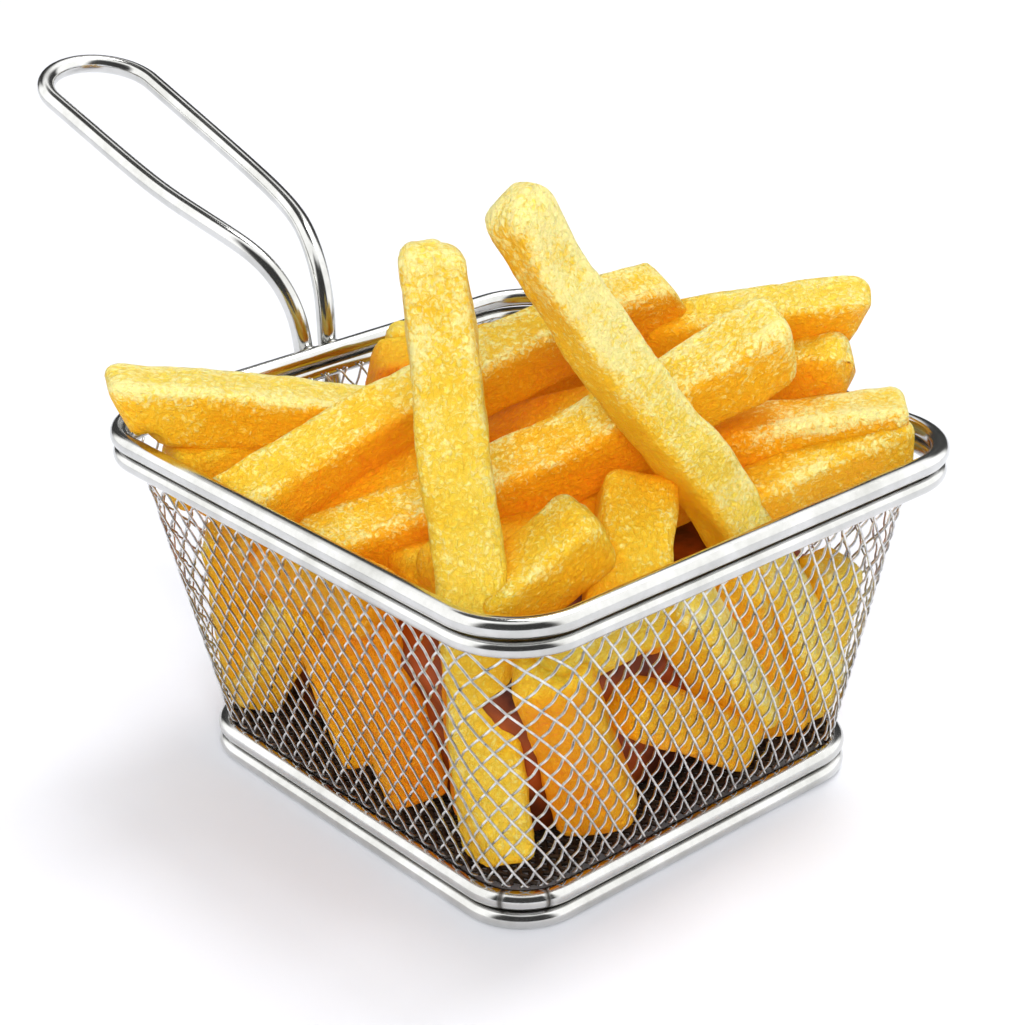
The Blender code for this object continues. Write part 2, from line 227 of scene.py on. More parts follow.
def wire_mesh(name, routes, radius, sides, closed=False, welds=(), carries=False):
    """Round wires along their routes, as one mesh. A weld is a point where a groove runs round.

    One that carries another ring gets painted shade along its top, in the crease between them.
    """
    vertices, faces, places, joint_and_crease_shade = [], [], [], []
    for route in routes:
        first = len(vertices)
        run = 0.0
        for index, (point, (side, other)) in enumerate(zip(route, wire_sections(route, closed))):
            run += (point - route[index - 1]).length if index else 0.0
            grooves = [math.exp(-((point - weld).length / JOINT_WIDTH) ** 2) for weld in welds]
            groove = max(grooves or [0.0])
            for turn in range(sides):
                angle = 2 * math.pi * turn / sides
                out = side * math.cos(angle) + other * math.sin(angle)
                vertices.append(point + out * radius * (1 - JOINT_DEPTH * groove))
                places.append((run, radius * angle))
                # Painted shade in the crease, where the ring that this one carries sits on it.
                crease_shade = clamped((out.z - CREASE_SHADE_FROM) / (1 - CREASE_SHADE_FROM))
                joint_and_crease_shade.append(max(groove, crease_shade if carries else 0.0))
        faces += skin(first, len(route), sides, closed)
    mesh = bpy.data.meshes.new(name)
    mesh.from_pydata(vertices, [], faces)
    layer = mesh.uv_layers.new(name="wire")
    for loop in mesh.loops:
        layer.data[loop.index].uv = places[loop.vertex_index]
    mesh.attributes.new("weld", "FLOAT", "POINT").data.foreach_set("value", joint_and_crease_shade)
    mesh.shade_smooth()
    return mesh


def add_piece(name, mesh, material, slot, *nodes):
    """A finished piece in its place on the basket, standing for these solids."""
    piece = bpy.data.objects.new(name, mesh)
    bpy.context.scene.collection.objects.link(piece)
    mesh.materials.append(material)
    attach(piece, "root")
    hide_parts(*nodes)
    return piece


def evenly(points, spacing):
    """The closed line through these points, with its long straights cut to the spacing."""
    line = []
    for index, point in enumerate(points):
        after = points[(index + 1) % len(points)]
        pieces = max(1, round((after - point).length / spacing))
        line.extend(point.lerp(after, step / pieces) for step in range(pieces))
    return line


steel = polished_steel()
lower_rim_height = RIM_HEIGHT - (RIM_WIRE + LOWER_RIM_WIRE) / 2 - RING_GAP
upper_foot_height = FOOT_WIRE * 1.5 + RING_GAP
for name, outline, height, wire in (
    ("rim_ring_upper", RIM, RIM_HEIGHT, RIM_WIRE),
    ("rim_ring_lower", RIM, lower_rim_height, LOWER_RIM_WIRE),
    ("base_ring_upper", FOOT, upper_foot_height, FOOT_WIRE),
    ("base_ring_lower", FOOT, FOOT_WIRE / 2, FOOT_WIRE),
):
    corners = [MIDDLE + point for point, outward in rounded_square(*outline, height, BEND_STEPS)]
    joint = []
    if name == "base_ring_upper":
        bend = Vector((outline[2] - outline[0] / 2, outline[2] - outline[1] / 2, height))
        for end in map(math.radians, JOINT_ENDS):
            joint.append(MIDDLE + bend + Vector((math.cos(end), math.sin(end), 0.0)) * outline[2])
    ring = wire_mesh(
        name, [evenly(corners, RING_STEP)], wire / 2, WIRE_SIDES,
        closed=True, welds=joint, carries="lower" in name)
    add_piece("wire_" + name, ring, steel, "polished_steel", name)


# --- Handle -------------------------------------------------------------------
# One polished wire: two legs lie against the back wall and are spot welded to the rings,
# then they bend away and spread into a long loop with a round end.

HANDLE_WIRE = 3.3 * MM
LEG_SPACING = 4.8 * MM
LEG_FOOT_HEIGHT = 3.2 * MM
# Bends of a leg up to its shoulder, in mm: out along x, out along y from where it passes the
# rim, and height over the rim.
LEG_BENDS = ((0.0, -2.2, -13.0), (0.0, 0.0, -3.0), (0.5, 0.5, 5.8), (1.9, 3.7, 12.4))
LOOP_WIDTH = 20.8 * MM
LOOP_END = 127.1 * MM
LOOP_RISE = math.radians(17.0)
# Share of the loop's length, rise in mm, and share of its width.
LOOP_SPREAD = (
    (0.05, 2.7, 0.49), (0.11, 4.9, 0.63), (0.25, 7.7, 0.80), (0.50, 11.7, 0.94), (1.0, 20.9, 1.0),
)
CURVE_STEPS = 14
EASING_ROUNDS = 24
HANDLE_STEP = 1.0 * MM
LOOP_END_STEPS = 32
BEAD = 1.15 * MM
# A bead is pressed wide and flat between the leg and the ring.
BEAD_SQUEEZE = (1.5, 0.8, 1.0)
# The lowest beads sit just over the ends of the legs.
LOWEST_BEAD = 3.6 * MM
# Spot welds stay a little duller than the polished wire.
BEAD_STAIN = 0.35


def smooth_curve(points, steps):
    """Points along a Catmull-Rom curve through the given points."""
    ends = [points[0] * 2 - points[1], *points, points[-1] * 2 - points[-2]]
    curve = []
    for before, start, end, after in zip(ends, ends[1:], ends[2:], ends[3:]):
        for step in range(steps):
            t = step / steps
            curve.append(
                0.5 * (2 * start + (end - before) * t
                       + (2 * before - 5 * start + 4 * end - after) * t ** 2
                       + (3 * start - before - 3 * end + after) * t ** 3)
            )
    curve.append(points[-1])
    return curve


def relaxed(points, spacing):
    """The same line with its points at even spacing and its bends eased, as a bent wire's are."""
    line = [points[0]]
    for point in points[1:]:
        while (point - line[-1]).length >= spacing:
            line.append(line[-1] + (point - line[-1]).normalized() * spacing)
    line.append(points[-1])
    for repeat in range(EASING_ROUNDS):
        eased = [
            (before + point * 2 + after) / 4 for before, point, after in zip(line, line[1:], line[2:])
        ]
        line = [line[0], *eased, line[-1]]
    return line


clear = HANDLE_WIRE / 2 + RING_GAP
rim_back = RIM[1] / 2 + RIM_WIRE / 2 + clear
foot_back = FOOT[1] / 2 + FOOT_WIRE / 2 + clear
keys = [Vector((LEG_SPACING / 2, foot_back, LEG_FOOT_HEIGHT))]
for out, away, rise in LEG_BENDS:
    keys.append(Vector((LEG_SPACING / 2 + out * MM, rim_back + away * MM, RIM_HEIGHT + rise * MM)))
shoulder = keys[-1]
reach = LOOP_END - LOOP_WIDTH / 2 - shoulder.y
for along, rise, wide in LOOP_SPREAD:
    keys.append(Vector((LOOP_WIDTH / 2 * wide, shoulder.y + reach * along, shoulder.z + rise * MM)))
leg = relaxed(smooth_curve(keys, CURVE_STEPS), HANDLE_STEP)
loop_axis = Vector((0.0, math.cos(LOOP_RISE), math.sin(LOOP_RISE)))
loop_centre = Vector((0.0, keys[-1].y, keys[-1].z))
round_end = []
for step in range(1, LOOP_END_STEPS):
    angle = math.pi * step / LOOP_END_STEPS
    sideways = Vector((math.cos(angle) * LOOP_WIDTH / 2, 0.0, 0.0))
    round_end.append(loop_centre + sideways + loop_axis * math.sin(angle) * LOOP_WIDTH / 2)
mirrored = [Vector((-point.x, point.y, point.z)) for point in leg]
handle_route = [MIDDLE + point for point in leg + round_end + mirrored[::-1]]
handle = wire_mesh("handle", [handle_route], HANDLE_WIRE / 2, WIRE_SIDES)
add_piece("wire_handle", handle, steel, "polished_steel", "handle")


def weld_beads():
    """Nuggets of melted steel where the two legs are spot welded to the four rings."""
    shape = bmesh.new()
    for outline, wire, heights in (
        (RIM, RIM_WIRE, (RIM_HEIGHT, lower_rim_height)),
        (FOOT, FOOT_WIRE, (upper_foot_height, LOWEST_BEAD)),
    ):
        for side in (-1, 1):
            for height in heights:
                against = outline[1] / 2 + wire / 2 + RING_GAP / 2
                place = Vector((side * LEG_SPACING / 2, against, height))
                flat = Matrix.Translation(MIDDLE + place) @ Matrix.Diagonal((*BEAD_SQUEEZE, 1.0))
                bmesh.ops.create_icosphere(shape, subdivisions=3, radius=BEAD, matrix=flat)
    mesh = bpy.data.meshes.new("weld_beads")
    shape.to_mesh(mesh)
    shape.free()
    mesh.attributes.new("weld", "FLOAT", "POINT").data.foreach_set(
        "value", [BEAD_STAIN] * len(mesh.vertices))
    mesh.shade_smooth()
    return mesh


add_piece("handle_weld_beads", weld_beads(), steel, "polished_steel", "handle")


# --- Wire cloth ---------------------------------------------------------------
# The walls are a band of diamond wire cloth, woven from 0.4 mm stainless wire and pressed
# over a flared block, so its cells open up at the corners. It turns in over the floor cloth.

CLOTH_WIRE = 0.41 * MM
CLOTH_SIDES = 6
CRIMP = 0.17 * MM
CELLS_AROUND = 86
HALF_CELL_RISE = 2.55 * MM
STEPS_A_RISE = 6
# The loom leaves the wires uneven, by up to this share of a cell.
WANDER = 0.10
CLOTH_FOOT = FOOT
CLOTH_MOUTH = (91.1 * MM, 97.4 * MM, 12.0 * MM)
CLOTH_FLOOR = 6.3 * MM
CLOTH_BEND = 0.9 * MM
# The floor wires are thicker by their film of fat.
FILMED_WIRE = 0.75 * MM
FILMED_SIDES = 5
# Half cells of floor cloth to each side of the middle, before it is cut to shape.
FLOOR_SPAN = 80
FLOOR_RUN = 40
MOUTH_HEIGHT = 52.95 * MM
CLOTH_TOP = 54.0 * MM
# The last few millimetres lean out to the ring that they are welded to.
MOUTH_LEAN = 0.45 * MM
LEAN_FROM = 47.5 * MM
# Width of a cell at the foot and at the mouth, on the walls across x and across y.
X_WALL_CELL = (3.65 * MM, 4.05 * MM)
Y_WALL_CELL = (3.30 * MM, 3.65 * MM)
# How far the rows of cells climb along the wall that faces -Y, at the mouth. It starts five
# eighths of the way round and takes a quarter of it.
ROW_CLIMB = 6.5 * MM
CLIMB_FROM = 5 / 8
CLIMB_OVER = 1 / 4

WOVEN_LIGHT = "#E6E6E5"
WOVEN_DARK = "#A9AAAC"
# Floor wires: dark brown for their film of fat, and as painted shade under the heap.
FILM_AND_SHADE_LIGHT = "#4A3F36"
FILM_AND_SHADE_DARK = "#26201B"
# Rub marks on the wire are finer, and are drawn as coarse as they need to be to show.
WIRE_MARK = 1.6 * MM


def woven_steel():
    """Annealed stainless wire, woven and not polished again: bright but soft highlights."""
    material, tree, shader = start_material("woven_annealed_stainless", Metallic=1.0)
    solid = add_node(tree, "TexCoord")
    marks = add_node(tree, "TexNoise", {
        "Vector": solid.outputs["Object"], "Scale": 1 / WIRE_MARK, "Detail": 3.0, "Roughness": 0.6,
    })
    metal = add_node(tree, "ValToRGB", {"Fac": marks.outputs["Fac"]}, stops=[
        (0.32, linear(WOVEN_DARK)), (0.60, linear(WOVEN_LIGHT)),
    ])
    tree.links.new(metal.outputs["Color"], shader.inputs["Base Color"])
    dull = add_node(tree, "MapRange", {
        "Value": marks.outputs["Fac"], "From Min": 0.3, "From Max": 0.7,
        "To Min": 0.26, "To Max": 0.40,
    })
    tree.links.new(dull.outputs["Result"], shader.inputs["Roughness"])
    return material


def cloth_share(height):
    """How far up the walls a height is, from 0 at the bend to 1 at the mouth."""
    low = CLOTH_FLOOR + CLOTH_BEND
    return clamped((height - low) / (MOUTH_HEIGHT - low))


def cloth_outline(share):
    """Width, length and corner radius of the cloth, this far up the walls."""
    return (low + (high - low) * share for low, high in zip(CLOTH_FOOT, CLOTH_MOUTH))


def cloth_place(cells, rises, lift):
    """A point on the wall cloth: cells around it, half cells above its bend, and lift off it."""
    quarter = CELLS_AROUND / 4
    side, within = divmod(cells % CELLS_AROUND, quarter)
    height = CLOTH_FLOOR + CLOTH_BEND + rises * HALF_CELL_RISE
    share = cloth_share(height)
    width, length, corner = cloth_outline(share)
    x_cell, y_cell = (low + (high - low) * share for low, high in (X_WALL_CELL, Y_WALL_CELL))
    on_x_wall = side % 2 == 0
    first, second = (length, width) if on_x_wall else (width, length)
    first_cell, second_cell = (x_cell, y_cell) if on_x_wall else (y_cell, x_cell)
    first_cells = (first / 2 - corner) / first_cell
    second_cells = (second / 2 - corner) / second_cell
    corner_cells = quarter - first_cells - second_cells
    if within < first_cells:
        place = Vector((second / 2, within * first_cell, 0.0))
        outward = Vector((1.0, 0.0, 0.0))
    elif within < first_cells + corner_cells:
        angle = (within - first_cells) / corner_cells * math.pi / 2
        outward = Vector((math.cos(angle), math.sin(angle), 0.0))
        place = Vector((second / 2 - corner, first / 2 - corner, 0.0)) + outward * corner
    else:
        place = Vector(((quarter - within) * second_cell, first / 2, 0.0))
        outward = Vector((0.0, 1.0, 0.0))
    inset = CLOTH_WIRE / 2 + CRIMP - lift
    facing = outward.copy()
    if rises < 0:
        angle = min(-rises * HALF_CELL_RISE / CLOTH_BEND, math.pi / 2)
        place = place - outward * CLOTH_BEND * (1 - math.cos(angle))
        height = CLOTH_FLOOR + CLOTH_BEND * (1 - math.sin(angle))
        facing = outward * math.cos(angle) - UP * math.sin(angle)
    climbed = ((cells / CELLS_AROUND) % 1.0 - CLIMB_FROM) / CLIMB_OVER
    height += ROW_CLIMB * share * math.sin(math.pi / 2 * clamped(climbed))
    leaning = clamped((height - LEAN_FROM) / (CLOTH_TOP - LEAN_FROM))
    place += outward * MOUTH_LEAN * leaning ** 2
    place = place - facing * inset
    turned = Matrix.Rotation(side * math.pi / 2, 3, "Z")
    return MIDDLE + turned @ place + UP * height


def wall_wires(slant, lift_at):
    """The wires of one slant, all round the walls. lift_at gives the crimp along a wire."""
    routes = []
    low = -CLOTH_BEND * math.pi / 2 / HALF_CELL_RISE
    high = (CLOTH_TOP - CLOTH_FLOOR - CLOTH_BEND) / HALF_CELL_RISE + 1
    steps = round((high - low) * STEPS_A_RISE)
    for wire in range(CELLS_AROUND):
        route = []
        for step in range(steps + 1):
            rises = low + (high - low) * step / steps
            wander = noise.noise(Vector((wire * 7.3, rises * 0.30, slant))) * WANDER
            point = cloth_place(wire + slant * (rises / 2) + wander, rises, lift_at(rises))
            if point.z > CLOTH_TOP:
                break
            route.append(point)
        routes.append(route)
    return routes


def over(rises):
    """Wires that fall to the right lie outside at each crossing."""
    return CRIMP * (0.7 + 0.3 * math.cos(2 * math.pi * rises))


def under(rises):
    """Wires that rise to the right pass behind each crossing and bow out between them."""
    return -CRIMP * (0.3 + 1.2 * math.cos(2 * math.pi * rises))


def floor_wires(slant):
    """Straight crimped wires across the floor, which lies double, cut to its rounded square."""
    width, length = (side - 2 * CLOTH_BEND for side in CLOTH_FOOT[:2])
    corner = CLOTH_FOOT[2] - CLOTH_BEND
    cell = Vector((X_WALL_CELL[0] / 2, slant * HALF_CELL_RISE, 0.0))
    routes = []
    for start in range(-FLOOR_SPAN, FLOOR_SPAN + 1):
        route = []
        for step in range(-FLOOR_RUN * 4, FLOOR_RUN * 4 + 1):
            t = step / 4
            point = Vector((start * X_WALL_CELL[0] / 2, 0.0, 0.0)) + cell * t
            past_x = max(abs(point.x) - width / 2 + corner, 0.0)
            past_y = max(abs(point.y) - length / 2 + corner, 0.0)
            if math.hypot(past_x, past_y) <= corner:
                lift = slant * CRIMP * math.cos(2 * math.pi * t)
                route.append(MIDDLE + point + UP * (CLOTH_FLOOR + CLOTH_WIRE / 2 + CRIMP + lift))
        if len(route) > 2:
            routes.append(route)
    return routes


def fat_film_and_painted_shade_steel():
    """Floor wires under a film of frying fat, dark brown and dull; the dark brown is also painted shade
    for the floor under the heap.
    """
    material, tree, shader = start_material("fat_film_and_painted_shade_stainless", Metallic=0.6, Roughness=0.5)
    solid = add_node(tree, "TexCoord")
    marks = add_node(tree, "TexNoise", {
        "Vector": solid.outputs["Object"], "Scale": 1 / WIRE_MARK, "Detail": 2.0,
    })
    film_and_shade = add_node(tree, "ValToRGB", {"Fac": marks.outputs["Fac"]}, stops=[
        (0.35, linear(FILM_AND_SHADE_DARK)), (0.65, linear(FILM_AND_SHADE_LIGHT)),
    ])
    tree.links.new(film_and_shade.outputs["Color"], shader.inputs["Base Color"])
    return material


woven = woven_steel()
falling = wire_mesh("falling_wires", wall_wires(-1, over), CLOTH_WIRE / 2, CLOTH_SIDES)
add_piece("cloth_falling_wires", falling, woven, "woven_wire", "mesh_basket")
rising = wire_mesh("rising_wires", wall_wires(1, under), CLOTH_WIRE / 2, CLOTH_SIDES)
add_piece("cloth_rising_wires", rising, woven, "woven_wire", "mesh_basket")
floor_routes = floor_wires(1) + floor_wires(-1)
floor_cloth = wire_mesh("floor_wires", floor_routes, FILMED_WIRE / 2, FILMED_SIDES)
add_piece("cloth_floor_wires", floor_cloth, fat_film_and_painted_shade_steel(), "woven_wire", "mesh_basket")


# --- Fries --------------------------------------------------------------------
# Thick-cut potato, 9 to 11 mm square, fried twice: a thin crust with soft ends, painted with
# light and shade: pale frosting where light reaches, golden to orange where fries cover each other.

# Step between the rings along a fry, radius of its long edges and of its ends, the change of
# that radius from end to end, and how far the ends bulge.
FRY_RING = 1.35 * MM
FRY_EDGE = 1.7 * MM
FRY_END = 2.5 * MM
END_CHANGE = 0.8
FRY_DOME = 0.35 * MM
# Each end is domed by rings of these shares of its section, and rounds off over rings this
# far from it, in mm.
DOME_RINGS = (0.06, 0.3, 0.55, 0.8)
END_RINGS = (0.0, 0.12, 0.35, 0.7, 1.2, 1.9)
FACE_CUTS = 5
# How far along the fry an end that is cut askew pulls on it.
SLANT_REACH = 8.0 * MM
# What t (1 - t) (1 - t) reaches at a third of the length, where a bow is measured.
BOW_PEAK = 4 / 27
# How coarse and how high the unevenness of a fry is.
WAVE = (13.0 * MM, 0.75 * MM)
LUMP = (4.5 * MM, 0.30 * MM)
BLISTER = (1.6 * MM, 0.15 * MM)
SWAY = (28.0 * MM, 0.9 * MM)
# How coarse and how strong the change is along the edges, in shares of FRY_EDGE, and in how
# brown the crust is.
EDGE_CHANGE = (11.0 * MM, 0.6)
BROWN_CHANGE = (18.0 * MM, 0.10)
# How far the fries stay inside the outer face of the cloth.
CLOTH_CLEAR = 1.25 * MM

DEEP = "#E26C10"
BURNT = "#F08C10"
ORANGE = "#F3A412"
GOLDEN = "#F3B41A"
YELLOW = "#F5C930"
PALE = "#F6D74C"
FROSTING = "#F8E998"
# Thin darker lines run where the crust has wrinkled.
VEIN = "#E0980A"
VEIN_DEPTH = 0.27

# How far light soaks into the potato.
FLESH_DEPTH = 2.2 * MM
# Painted glow: where fries shade each other, the crust glows orange in place of light passed on
# through the flesh. The glow fades out where a face lies this open.
PAINTED_GLOW_COLOUR = "#FFA010"
GLOW = 0.17
GLOW_UNTIL = 0.60
# Patches of browning, crumbs of frosting, and the strands of the flesh. Crumbs and strands
# are finer, and are drawn as coarse as they need to be to show.
PATCH = 5.0 * MM
FROST = 0.80 * MM
FIBRE = 0.40 * MM
# Painted light and shade: a face that the light fully reaches is paler than a covered one by this.
PAINTED_LIGHT_TONE = 0.66
PAINTED_SHADE_TONE = -0.02
# Painted light: frosting starts where this much light reaches a face, and is full this much further on.
PAINTED_LIGHT_FROST_FROM = 0.1
PAINTED_LIGHT_FROST_OVER = 0.5
# Share of it that a flat face takes, and how much more an edge takes.
FACE_FROST = 0.8
EDGE_FROST = 0.35
# Higher up the heap the crust takes more frosting: from this height on, over this much more, by this.
TIP_FROST_FROM = 66.0 * MM
TIP_FROST_OVER = 20.0 * MM
TIP_FROST = 0.38

# One row for each fry, in mm from the middle of the foot: foot, tip, width at each,
# thickness, turn in degrees, bows near the foot and near the tip, browning, frosting, and for
# some how far the ends are cut askew: the foot across its width and thickness, then the tip.
FRIES = (
    # The top of the heap.
    ((-33.5, -32, 9), (-25.5, -10, 97), (11, 9.6), 9.5, 7, (0, 0), -0.22, 0.5, (0, 0, 0.8, 0)),
    ((30, -37, 14), (-18.3, -20.2, 104.3), (8.8, 8.5), 8.8, 43, (7.3, -3.5), -0.27, 0.8),
    ((-46, 19, 49.5), (31.5, -1.5, 73), (10.5, 9.0), 11, 21, (1.8, 2.4), 0.03, 0.6, (0, 0, 0, -2)),
    ((-37, 7, 45), (29, -28, 74), (11, 11), 11, 16, (-1.8, -1.8), 0.0, 0.7, (0, 0, 0, 0.6)),
    ((-48, 41, 64.5), (-2, 18, 53), (11.5, 11), 10, 4, (0, 0), -0.14, 0.9, (0, -3.2, 0, 0)),
    ((-43, 35, 52.5), (-12, 28, 50), (10, 10), 10, 0, (0, 0), -0.1, 0.2),
    ((20, 12, 63.5), (50, -26, 73), (9.5, 9.5), 9, 17, (0, 0), -0.05, 0.5, (0, 0, 0, 2.6)),
    ((30, 2, 56), (43, -29, 66), (9.5, 9.5), 10, 17, (0, 0), 0.0, 0.6, (0, 0, 0, 0.8)),
    ((14, -13, 51), (43, -41, 59), (11, 11), 9.5, 2, (0.6, 0.6), 0.0, 1.0, (0, 0, 0, 1)),
    ((13, -28, 47), (43, -41.5, 58), (9, 8.5), 9, 10, (0, 0), 0.0, 0.6, (0, 0, 0, 0.5)),
    ((-30, -24, 45), (-12, -29, 56), (10.5, 10), 10.5, 9, (0, 0), -0.05, 0.5),
    ((-14, -37, 40), (3, -23, 56), (13.5, 11.5), 9, 13, (0, 0), 0.0, 0.4),
    ((-33, 11, 45), (-12, 2, 56), (9, 9), 9, 18, (0, 0), 0.05, 0.3),
    ((-2, 14, 51), (12, -10, 60), (9, 9), 9, 20, (0, 0), 0.1, 0.2),
    ((-2, 36.5, 56), (26, 20, 59), (9, 9), 10, 15, (0, 0), 0.2, 0.1, (0, 1.5, 0, 0)),
    ((5, 41, 60.5), (15, 33, 58), (7, 8), 7, 0, (0, 0), -0.1, 0.4),
    ((-22, 37, 47), (22, 31, 51), (9, 9), 9, 5, (0, 0), 0.1, 0.2),
    ((30, 34, 47), (38, -2, 52), (9.5, 9), 9, 10, (0, 0), 0.0, 0.4),
    ((8, 30, 50), (36, 16, 56), (9, 9), 9, 20, (0, 0), 0.1, 0.3),
    ((-34, 41, 43), (6, 41.5, 46.5), (9.5, 9.5), 9, 0, (0, 0), 0.05, 0.3),
    ((10, 39, 45), (37, 34, 43), (9.5, 9.5), 9, 0, (0, 0), 0.05, 0.3),
    ((37, 31, 47), (38.5, -4, 46), (9.5, 9), 9, 0, (0, 0), 0.05, 0.3),
    ((29, -8, 45), (33, -27, 48), (9.5, 9), 9, 0, (0, 0), 0.1, 0.3),
    ((-38, 26, 42), (-37, -10, 44), (9, 9), 9, 0, (0, 0), 0.1, 0.2),
    # Fries that lean on the walls that face -Y and -X.
    ((-15, -33, 9), (-31, -40, 43), (12, 11), 9, 0, (0, 0), 0.08, 0.2),
    ((-31, -38.5, 44), (-3, -39, 43.5), (8.5, 8.5), 8, 0, (0, 0), -0.20, 0.4),
    ((14, -34, 11), (-15, -37.5, 31), (10, 10), 9, 0, (0, 0), 0.02, 0.3),
    ((18, -35, 16), (-9, -41, 48), (9.5, 9.5), 9, 18, (0, 0), -0.26, 0.8),
    ((25, -33, 10), (8, -37, 42), (9.5, 9.5), 8.5, 0, (0, 0), 0.02, 0.3),
    ((30, -31, 9), (31.5, -37, 38), (10, 9), 9, 45, (0, 0), -0.24, 0.7),
    ((-31, 33, 9.5), (-37, 27.5, 43), (10.5, 10), 9, 0, (0, 0), -0.12, 0.5),
    ((-32.5, 31, 11), (-38, 8.5, 38), (9, 9), 8, -31, (0, 0), -0.20, 0.9),
    ((-29, 3, 9.5), (-35, 13, 45), (10, 10), 9, 0, (0, 0), 0.04, 0.3),
    ((-31, -10, 9.5), (-36.5, -2.5, 43), (10, 10), 9, 10, (0, 0), 0.14, 0.0),
    ((-26, -19, 9), (-30, -23, 45), (10, 10), 9, 0, (0, 0), 0.25, 0.0),
)

# The light painted into the fries' colour comes from above, some from below level, and more from +X.
OPEN_RAYS = 20
OPEN_SIDE = Vector((0.70, 0.05, 0.71))
OPEN_PULL = 0.45
OPEN_BELOW = 0.15
RAY_START = 0.25 * MM
RAY_REACH = 60.0 * MM
SOFTENING_ROUNDS = 2


def fried_potato():
    """Thin crust over soft potato, wet with oil: pale rough frosting on satin golden sides, in painted
    light and shade.
    """
    material, tree, shader = start_material(
        "fried_potato_crust", IOR=1.45, Specular_IOR_Level=0.3, Emission_Color=linear(PAINTED_GLOW_COLOUR),
        Subsurface_Weight=0.3, Subsurface_Radius=(1.0, 0.65, 0.2), Subsurface_Scale=FLESH_DEPTH)
    grain = add_node(tree, "Attribute", attribute_name="grain")
    tone_and_painted_light = add_node(tree, "Attribute", attribute_name="tone_and_painted_light")
    frost_cover_and_painted_light = add_node(tree, "Attribute", attribute_name="frost_cover_and_painted_light")
    painted_glow_strength = add_node(tree, "Attribute", attribute_name="glow")
    tree.links.new(painted_glow_strength.outputs["Fac"], shader.inputs["Emission Strength"])
    # Browning varies in patches and crumbs, on each fry's own tone and on the painted light and shade
    # of its faces.
    patches = add_node(tree, "TexNoise", {
        "Vector": grain.outputs["Vector"], "Scale": 1 / PATCH, "Detail": 3.0, "Roughness": 0.6,
        "Distortion": 0.8,
    })
    frost = add_node(tree, "TexNoise", {
        "Vector": grain.outputs["Vector"], "Scale": 1 / FROST, "Detail": 5.0, "Roughness": 0.68,
        "Distortion": 0.7,
    })
    long_grain = add_node(tree, "Mapping", {
        "Vector": grain.outputs["Vector"], "Scale": (1.0, 1.0, 0.12),
    })
    fibres = add_node(tree, "TexNoise", {
        "Vector": long_grain.outputs["Vector"], "Scale": 1 / FIBRE, "Detail": 3.0, "Roughness": 0.6,
    })
    uneven = add_node(tree, "Math", {
        0: patches.outputs["Fac"], 1: 0.30, 2: tone_and_painted_light.outputs["Fac"],
    }, operation="MULTIPLY_ADD")
    streaked = add_node(tree, "Math", {
        0: frost.outputs["Fac"], 1: 0.55, 2: uneven.outputs["Value"],
    }, operation="MULTIPLY_ADD")
    body = add_node(tree, "ValToRGB", {"Fac": streaked.outputs["Value"]}, stops=[
        (0.28, linear(DEEP)), (0.42, linear(BURNT)), (0.56, linear(ORANGE)),
        (0.70, linear(GOLDEN)), (0.86, linear(YELLOW)), (1.0, linear(PALE)),
    ])
    # Wrinkles run along the edges of the crumbs.
    edges = add_node(tree, "ValToRGB", {"Fac": frost.outputs["Fac"]}, stops=[
        (0.44, grey(0.0)), (0.48, grey(VEIN_DEPTH)), (0.50, grey(VEIN_DEPTH)), (0.54, grey(0.0)),
    ])
    veined = add_node(tree, "Mix", {
        "Factor": edges.outputs["Color"], "A": body.outputs["Color"], "B": linear(VEIN),
    }, data_type="RGBA")
    # Frosting gathers in clumps, where painted light and each fry's own frosting put it.
    clumped = add_node(tree, "Math", {
        0: patches.outputs["Fac"], 1: 0.45, 2: frost.outputs["Fac"],
    }, operation="MULTIPLY_ADD")
    frost_and_painted_light = add_node(tree, "Math", {
        0: frost_cover_and_painted_light.outputs["Fac"], 1: 0.34, 2: clumped.outputs["Value"],
    }, operation="MULTIPLY_ADD")
    cover = add_node(tree, "MapRange", {
        "Value": frost_and_painted_light.outputs["Value"], "From Min": 0.87, "From Max": 1.13,
    }, interpolation_type="SMOOTHSTEP")
    crusted = add_node(tree, "Mix", {
        "Factor": cover.outputs["Result"], "A": veined.outputs["Result"], "B": linear(FROSTING),
    }, data_type="RGBA")
    tree.links.new(crusted.outputs["Result"], shader.inputs["Base Color"])
    sheen = add_node(tree, "MapRange", {
        "Value": frost.outputs["Fac"], "From Min": 0.35, "From Max": 0.65,
        "To Min": 0.40, "To Max": 0.62,
    })
    tree.links.new(sheen.outputs["Result"], shader.inputs["Roughness"])
    blisters = add_node(tree, "Bump", {
        "Height": frost_and_painted_light.outputs["Value"], "Strength": 1.0, "Distance": 1.3 * MM,
    })
    skin = add_node(tree, "Bump", {
        "Height": fibres.outputs["Fac"], "Strength": 0.7, "Distance": 0.35 * MM,
        "Normal": blisters.outputs["Normal"],
    })
    tree.links.new(skin.outputs["Normal"], shader.inputs["Normal"])
    return material


def cut_section(half_width, half_depth, edges):
    """The cut across a fry: its points, and how near each is to one of the four edges."""
    arcs = []
    for quarter, (side_x, side_y) in enumerate(((1, 1), (-1, 1), (-1, -1), (1, -1))):
        edge = edges[quarter]
        centre = Vector((side_x * (half_width - edge), side_y * (half_depth - edge)))
        turns = (math.pi / 2 * (quarter + step / 3) for step in range(4))
        arcs.append([centre + Vector((math.cos(angle), math.sin(angle))) * edge for angle in turns])
    section = []
    for arc, after in zip(arcs, arcs[1:] + arcs[:1]):
        section.extend((point, 1.0) for point in arc)
        for step in range(1, FACE_CUTS):
            share = step / FACE_CUTS
            section.append((arc[-1].lerp(after[0], share), (2 * share - 1) ** 4))
    return section


